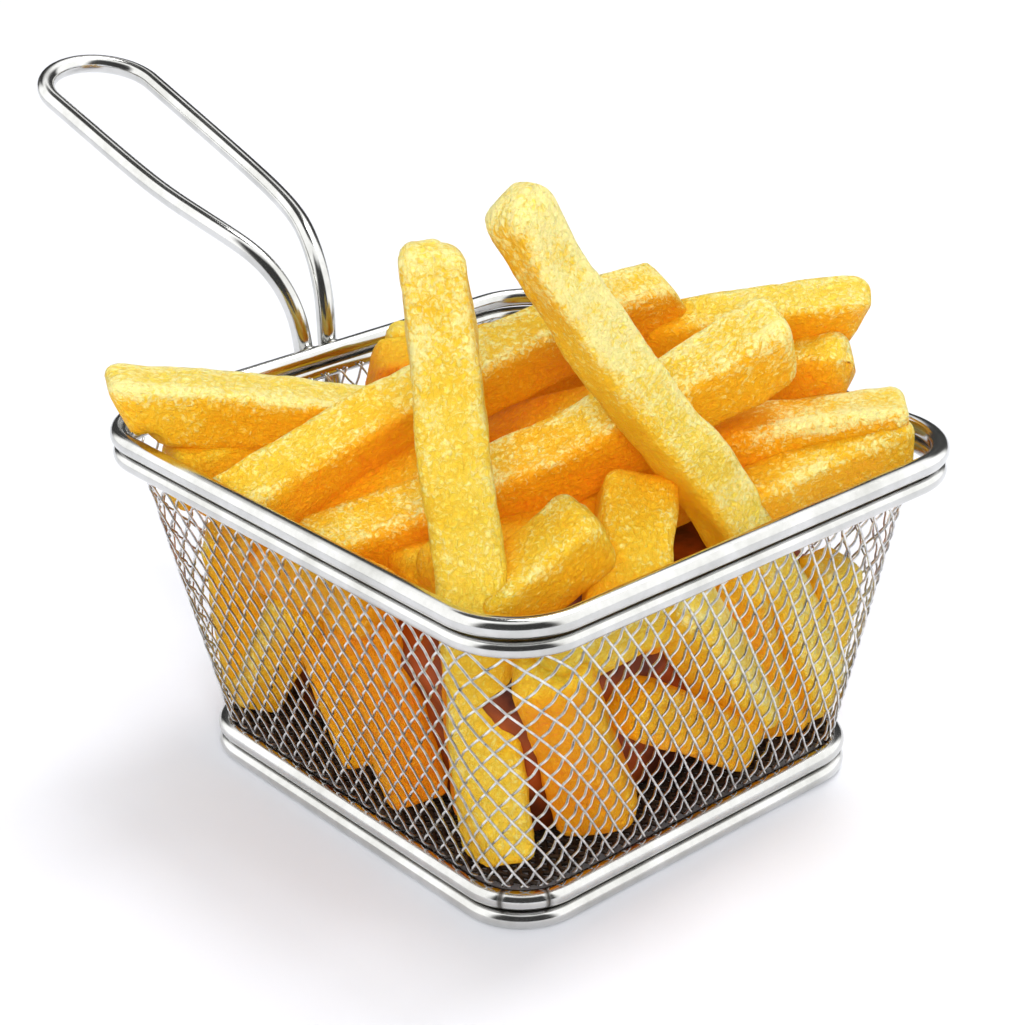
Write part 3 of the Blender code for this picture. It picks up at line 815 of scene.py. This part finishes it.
def inside_cloth(point):
    """The same point, pressed back where it would come through the wire cloth."""
    local = point - MIDDLE
    if local.z > RIM_HEIGHT + RIM_WIRE:
        return point
    height = max(local.z, CLOTH_FLOOR + CLOTH_CLEAR)
    width, length, corner = cloth_outline(cloth_share(height))
    past = Vector((
        max(abs(local.x) - width / 2 + corner, 0.0), max(abs(local.y) - length / 2 + corner, 0.0),
    ))
    reach = corner - CLOTH_CLEAR
    if past.length > reach:
        kept = past * (reach / past.length)
        local.x -= math.copysign(past.x - kept.x, local.x)
        local.y -= math.copysign(past.y - kept.y, local.y)
    return MIDDLE + Vector((local.x, local.y, height))


class Heap:
    """The growing mesh of all fries, with what the material needs at each point."""

    def __init__(self):
        self.vertices, self.faces, self.grain, self.brown, self.frosting = [], [], [], [], []


def fry(heap, number, foot, tip, widths, depth, turn, bows, brown, frosting, skew=(0, 0, 0, 0)):
    """Add one fry: rings of its cut section along a bowed line, closed by domed ends."""
    foot, tip = (MIDDLE + Vector(end) * MM for end in (foot, tip))
    along = (tip - foot).normalized()
    length = (tip - foot).length
    reference = UP if abs(along.z) < 0.8 else Vector((-1.0, -1.0, 0.0)).normalized()
    upward = (reference - along * reference.dot(along)).normalized()
    upward = Matrix.Rotation(math.radians(turn), 3, along) @ upward
    sideways = upward.cross(along)
    seed = Vector((number * 0.137, number * 0.291, number * 0.053))
    changes = [noise.noise(seed * 31 + UP * side) for side in (1.3, 4.7)]
    rounds = [FRY_END * (1.0 + END_CHANGE * change) for change in changes]
    near = [run * MM for run in END_RINGS]
    inner = length - 2 * FRY_END
    rings = max(4, round(inner / FRY_RING))
    middle = [FRY_END + inner * step / rings for step in range(rings + 1)]
    stations = [(0.0, share) for share in DOME_RINGS]
    stations += [(run, 1.0) for run in near + middle + [length - run for run in reversed(near)]]
    stations += [(length, share) for share in reversed(DOME_RINGS)]
    first = len(heap.vertices)
    for run, share in stations:
        t = run / length
        reach = rounds[0] if t < 0.5 else rounds[1]
        inset = reach * (1 - math.sqrt(1 - max(1 - min(run, length - run) / reach, 0.0) ** 2))
        half_width = (widths[0] + (widths[1] - widths[0]) * t) * MM / 2 - inset
        half_depth = depth * MM / 2 - inset
        edges = []
        for corner in range(4):
            uneven = noise.noise(seed * 9 + Vector((corner * 5.0, 0.0, run / EDGE_CHANGE[0])))
            edges.append(FRY_EDGE * (1.0 + EDGE_CHANGE[1] * uneven) - inset * 0.4)
        arch = (bows[0] * (1 - t) + bows[1] * t) * t * (1 - t) / BOW_PEAK
        line = foot.lerp(tip, t) + UP * arch * MM
        sway = Vector((run / SWAY[0], number * 3.1, 0.0))
        line += sideways * noise.noise(sway) * SWAY[1]
        line += upward * noise.noise(sway + UP * 9) * SWAY[1]
        line += along * FRY_DOME * (1 - share ** 2) * (1 if run else -1)
        foot_pull = max(1 - run / SLANT_REACH, 0.0) ** 2
        tip_pull = max(1 - (length - run) / SLANT_REACH, 0.0) ** 2
        for place, edged in cut_section(half_width, half_depth, edges):
            place = place * share
            local = Vector((place.x, place.y, run))
            outward = (sideways * place.x + upward * place.y).normalized()
            if share < 1.0:
                outward = (outward * share + along * (1 if run else -1)).normalized()
            swell = sum(
                size * noise.noise(local / coarse + seed * 40) for coarse, size in (WAVE, LUMP, BLISTER)
            )
            across, through = place.x / (half_width + inset), place.y / (half_depth + inset)
            slide = foot_pull * (skew[0] * across + skew[1] * through)
            slide += tip_pull * (skew[2] * across + skew[3] * through)
            point = line + sideways * place.x + upward * place.y + along * slide * MM
            heap.vertices.append(inside_cloth(point + outward * swell))
            heap.grain.append(local + seed)
            change = noise.noise(local / BROWN_CHANGE[0] + seed * 20)
            heap.brown.append(brown + BROWN_CHANGE[1] * change)
            heap.frosting.append(frosting * (FACE_FROST + EDGE_FROST * edged))
    around = (len(heap.vertices) - first) // len(stations)
    heap.faces += skin(first, len(stations), around)


def wall_rows():
    """Rows for the fries that lean on the walls that face +Y and +X."""
    rows = []
    for index in range(4):
        spread = 17.0 * (index - 1.5)
        tilt = 5.0 * (-1) ** index
        shape = (10, 10), 9, 45, (0, 0), 0.05, 0.4
        rows.append(((spread, 33, 9), (spread + tilt, 39.5, 42), *shape))
        if index > 0:
            rows.append(((33, spread, 9), (38, spread + tilt, 42), *shape))
    return rows


def covered_rows():
    """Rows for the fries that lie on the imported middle, under the top of the heap."""
    rows = []
    for index in range(5):
        across = 27.0 - 10.5 * index
        sway = (-1) ** index
        shape = (10, 10), 8, 8 * sway, (0, 0), 0.0, 0.3
        height = 45.5 + sway
        rows.append(((-30, across + 2 * sway, height), (24, across - 2 * sway, height + 1), *shape))
    return rows


def openness(mesh):
    """How open each point lies to the light: 0 where fries cover it, 1 on a free top face."""
    tree = BVHTree.FromPolygons(
        [vertex.co for vertex in mesh.vertices], [polygon.vertices for polygon in mesh.polygons],
    )
    rays = []
    for step in range(OPEN_RAYS):
        height = (step + 0.5) / OPEN_RAYS * (1 + OPEN_BELOW) - OPEN_BELOW
        angle = step * math.pi * (3 - math.sqrt(5))
        level = math.sqrt(1 - height ** 2)
        ray = Vector((level * math.cos(angle), level * math.sin(angle), height))
        rays.append((ray, 1 + OPEN_PULL * ray.dot(OPEN_SIDE)))
    most = sum(max(ray.z, 0.0) * weight for ray, weight in rays)
    found = []
    for vertex in mesh.vertices:
        facing = vertex.normal
        start = vertex.co + facing * RAY_START
        light = 0.0
        for ray, weight in rays:
            lean = facing.dot(ray)
            if lean > 0.0 and tree.ray_cast(start, ray, RAY_REACH)[0] is None:
                light += lean * weight
        found.append(min(light / most, 1.0))
    for repeat in range(SOFTENING_ROUNDS):
        total, shares = found[:], [1] * len(found)
        for edge in mesh.edges:
            one, other = edge.vertices
            total[one] += found[other]
            total[other] += found[one]
            shares[one] += 1
            shares[other] += 1
        found = [value / share for value, share in zip(total, shares)]
    return found


heap = Heap()
for number, row in enumerate((*FRIES, *wall_rows(), *covered_rows())):
    fry(heap, number, *row)
fries = bpy.data.meshes.new("fries")
fries.from_pydata(heap.vertices, [], heap.faces)
fries.shade_smooth()
light = openness(fries)
# Painted light and shade: the light that reaches each point sets its tone and its frosting.
painted_light_tones = [PAINTED_LIGHT_TONE * value + PAINTED_SHADE_TONE - brown for value, brown in zip(light, heap.brown)]
# Painted glow, strongest where the least light reaches.
glow = [GLOW * (1 - min(value / GLOW_UNTIL, 1.0)) for value in light]
painted_frost_cover = []
for vertex, value, frosting in zip(fries.vertices, light, heap.frosting):
    tip = clamped((vertex.co.z - TIP_FROST_FROM) / TIP_FROST_OVER)
    painted_frost_cover.append(clamped((value - PAINTED_LIGHT_FROST_FROM) / PAINTED_LIGHT_FROST_OVER) * frosting + TIP_FROST * tip)
fries.attributes.new("grain", "FLOAT_VECTOR", "POINT").data.foreach_set(
    "vector", [value for point in heap.grain for value in point])
for name, values in (("tone_and_painted_light", painted_light_tones), ("frost_cover_and_painted_light", painted_frost_cover), ("glow", glow)):
    fries.attributes.new(name, "FLOAT", "POINT").data.foreach_set("value", values)
add_piece("fries", fries, fried_potato(), "fried_potato", "fries_heap")


# --- Packed middle ------------------------------------------------------------
# The fries that are packed out of sight in the middle of the basket, as one lump painted dark
# for the shade it lies in.

CORE_INSET = 10.0 * MM
CORE_FOOT = CLOTH_FLOOR + 2.0 * MM
CORE_TOP = 42.0 * MM
CORE_CORNER = 6.0 * MM
CORE_STEPS = 9
# It draws in by a quarter over the last fifth of its height.
CORE_SHOULDER = 0.8
CORE_DRAWN_IN = 0.25
# How coarse and how high its lumps are, and how coarse its shades.
CORE_LUMP = (9.0 * MM, 1.5 * MM)
CORE_SHADE = 8.0 * MM
# Painted shade: the packed fries are dark brown for the deep shade they lie in.
CORE_PAINTED_SHADE_DARK = "#431704"
CORE_PAINTED_SHADE_LIGHT = "#9A4209"


def packed_potato():
    """The same fried crust, with painted shade: dark brown for the deep shade among the packed fries.
    """
    material, tree, shader = start_material("fried_potato_packed", IOR=1.45, Roughness=0.6)
    solid = add_node(tree, "TexCoord")
    shades = add_node(tree, "TexNoise", {
        "Vector": solid.outputs["Object"], "Scale": 1 / CORE_SHADE, "Detail": 4.0,
    })
    colour = add_node(tree, "ValToRGB", {"Fac": shades.outputs["Fac"]}, stops=[
        (0.35, linear(CORE_PAINTED_SHADE_DARK)), (0.65, linear(CORE_PAINTED_SHADE_LIGHT)),
    ])
    tree.links.new(colour.outputs["Color"], shader.inputs["Base Color"])
    relief = add_node(tree, "Bump", {
        "Height": shades.outputs["Fac"], "Strength": 0.6, "Distance": 1.0 * MM,
    })
    tree.links.new(relief.outputs["Normal"], shader.inputs["Normal"])
    return material


core_rows = []
for step in range(CORE_STEPS + 1):
    share = step / CORE_STEPS
    height = CORE_FOOT + (CORE_TOP - CORE_FOOT) * share
    rounding = 1.0 - CORE_DRAWN_IN * max(share - CORE_SHOULDER, 0.0) / (1.0 - CORE_SHOULDER)
    size = [(side - 2 * CORE_INSET) * rounding for side in cloth_outline(share)][:2]
    outline = rounded_square(*size, CORE_CORNER, height, steps=8)
    core_rows.append([MIDDLE + point for point, outward in outline])
core_vertices = []
for row in core_rows:
    for point in row:
        uneven = Vector([noise.noise(point / CORE_LUMP[0] + UP * axis * 7) for axis in range(3)])
        core_vertices.append(point + uneven * CORE_LUMP[1])
core = bpy.data.meshes.new("packed_middle")
core.from_pydata(core_vertices, [], skin(0, len(core_rows), len(core_rows[0])))
core.shade_smooth()
add_piece("packed_middle", core, packed_potato(), "fried_potato", "fries_heap")


# --- Table, lights and camera -------------------------------------------------
# A white table top under a broad soft light from above and behind, with a dark room that
# the polished steel mirrors.

TABLE_SIZE = 8.0
TABLE_LIGHT = "#DDDEE3"
TABLE_DARK = "#DADBE0"
# The grain of laminate is too fine to show, so wide soft shades stand for it.
TABLE_SHADE = 1 / 3
# The lights aim at the middle of the basket.
AIM_HEIGHT = 30.0 * MM


def table_top():
    """White laminate: matt, with a hardly visible grain."""
    material, tree, shader = start_material("white_laminate", Roughness=0.7)
    solid = add_node(tree, "TexCoord")
    haze = add_node(tree, "TexNoise", {
        "Vector": solid.outputs["Object"], "Scale": 1 / TABLE_SHADE, "Detail": 2.0,
    })
    colour = add_node(tree, "ValToRGB", {"Fac": haze.outputs["Fac"]}, stops=[
        (0.3, linear(TABLE_DARK)), (0.7, linear(TABLE_LIGHT)),
    ])
    tree.links.new(colour.outputs["Color"], shader.inputs["Base Color"])
    return material


table_mesh = bpy.data.meshes.new("table")
half = TABLE_SIZE / 2
table_corners = [(-half, -half, 0), (half, -half, 0), (half, half, 0), (-half, half, 0)]
table_mesh.from_pydata(table_corners, [], [(0, 1, 2, 3)])
table_mesh.materials.append(table_top())
table = bpy.data.objects.new("table", table_mesh)
bpy.context.scene.collection.objects.link(table)


def soft_light(name, place, size, power, mirrored=True):
    """A square soft box that looks at the basket. If not mirrored, it leaves no spot on steel."""
    data = bpy.data.lights.new(name, "AREA")
    data.size = size
    data.energy = power
    light = bpy.data.objects.new(name, data)
    light.location = place
    light.visible_glossy = mirrored
    aim = UP * AIM_HEIGHT - Vector(place)
    light.rotation_euler = aim.to_track_quat("-Z", "Y").to_euler()
    bpy.context.scene.collection.objects.link(light)


soft_light("key", place=(0.93, 0.10, 2.28), size=1.10, power=35.5)
soft_light("front_fill", place=(-1.70, -1.96, 1.60), size=1.60, power=92.0, mirrored=False)

# A white room for the camera and for soft light, which polished steel sees as a studio: bright
# soft boxes on both sides and overhead, dark cloths before and behind the basket, and a flag.
CLOTH_LINE = Vector((0.653, 0.757, 0.0))
ROOM_DARK = 0.06
ROOM_LIGHT = 1.6
ROOM_SEEN = 1.1
SOFT_FILL = 0.62
# A dark flag hangs over the handle, out of sight of the straight sides of the rings.
FLAG = Vector((0.15, 0.27, 0.951))

world = bpy.data.worlds.new("studio")
world.use_nodes = True
bpy.context.scene.world = world
sky = world.node_tree
direction = add_node(sky, "TexCoord")
toward = add_node(sky, "VectorMath", {
    0: direction.outputs["Generated"], 1: CLOTH_LINE,
}, operation="DOT_PRODUCT")
split = add_node(sky, "SeparateXYZ", {"Vector": direction.outputs["Generated"]})
# How squarely a direction faces a cloth, however steep it is.
squared = add_node(sky, "Math", {0: toward.outputs["Value"], 1: 2.0}, operation="POWER")
steepness = add_node(sky, "Math", {0: split.outputs["Z"], 1: 2.0}, operation="POWER")
flatness = add_node(sky, "Math", {0: 1.02, 1: steepness.outputs["Value"]}, operation="SUBTRACT")
turned = add_node(sky, "Math", {
    0: squared.outputs["Value"], 1: flatness.outputs["Value"],
}, operation="DIVIDE")
across = add_node(sky, "MapRange", {
    "Value": turned.outputs["Value"], "From Min": 0.30, "From Max": 0.56,
}, interpolation_type="SMOOTHSTEP")
# The cloth behind the basket ends lower than the one in front.
behind = add_node(sky, "Math", {0: toward.outputs["Value"], 1: 0.0}, operation="GREATER_THAN")
raised = add_node(sky, "Math", {
    0: behind.outputs["Value"], 1: 0.25, 2: split.outputs["Z"],
}, operation="MULTIPLY_ADD")
below = add_node(sky, "MapRange", {
    "Value": raised.outputs["Value"], "From Min": 0.80, "From Max": 0.98, "To Min": 1.0, "To Max": 0.0,
}, interpolation_type="SMOOTHSTEP")
cloths = add_node(sky, "Math", {
    0: across.outputs["Result"], 1: below.outputs["Result"],
}, operation="MULTIPLY")
overhead = add_node(sky, "VectorMath", {
    0: direction.outputs["Generated"], 1: FLAG,
}, operation="DOT_PRODUCT")
flag = add_node(sky, "MapRange", {
    "Value": overhead.outputs["Value"], "From Min": 0.900, "From Max": 0.935,
}, interpolation_type="SMOOTHSTEP")
dark = add_node(sky, "Math", {
    0: cloths.outputs["Value"], 1: flag.outputs["Result"],
}, operation="MAXIMUM")
seen = add_node(sky, "MapRange", {
    "Value": dark.outputs["Value"], "To Min": ROOM_LIGHT, "To Max": ROOM_DARK,
})

kind_of_ray = add_node(sky, "LightPath")
level_light = add_node(sky, "Mix", {
    "Factor": kind_of_ray.outputs["Is Camera Ray"], "A": SOFT_FILL, "B": ROOM_SEEN,
}, data_type="FLOAT")
strength = add_node(sky, "Mix", {
    "Factor": kind_of_ray.outputs["Is Glossy Ray"],
    "A": level_light.outputs["Result"], "B": seen.outputs["Result"],
}, data_type="FLOAT")
sky.links.new(strength.outputs["Result"], sky.nodes["Background"].inputs["Strength"])
sky.nodes["Background"].inputs["Color"].default_value = grey(1.0)

CAMERA_PLACE = Vector((-217.745, -249.279, 198.103)) * MM
CAMERA_TURN = math.radians(-40.809)
CAMERA_RISE = math.radians(24.991)
CAMERA_ROLL = math.radians(-1.058)
# Focal length and film width, in mm.
CAMERA_LENS = 80.66
CAMERA_FILM = 36.0

back = Vector((
    math.sin(CAMERA_TURN) * math.cos(CAMERA_RISE),
    -math.cos(CAMERA_TURN) * math.cos(CAMERA_RISE),
    math.sin(CAMERA_RISE),
))
right = Vector((math.cos(CAMERA_TURN), math.sin(CAMERA_TURN), 0.0))
level = Matrix((right, back.cross(right), back)).transposed()
camera_data = bpy.data.cameras.new("camera")
camera_data.lens = CAMERA_LENS
camera_data.sensor_width = CAMERA_FILM
camera_data.clip_start = 0.01
camera = bpy.data.objects.new("camera", camera_data)
camera.matrix_world = Matrix.Translation(MIDDLE + CAMERA_PLACE) @ (
    level @ Matrix.Rotation(CAMERA_ROLL, 3, "Z")).to_4x4()
bpy.context.scene.collection.objects.link(camera)
bpy.context.scene.camera = camera
bpy.context.scene.view_settings.view_transform = "Standard"
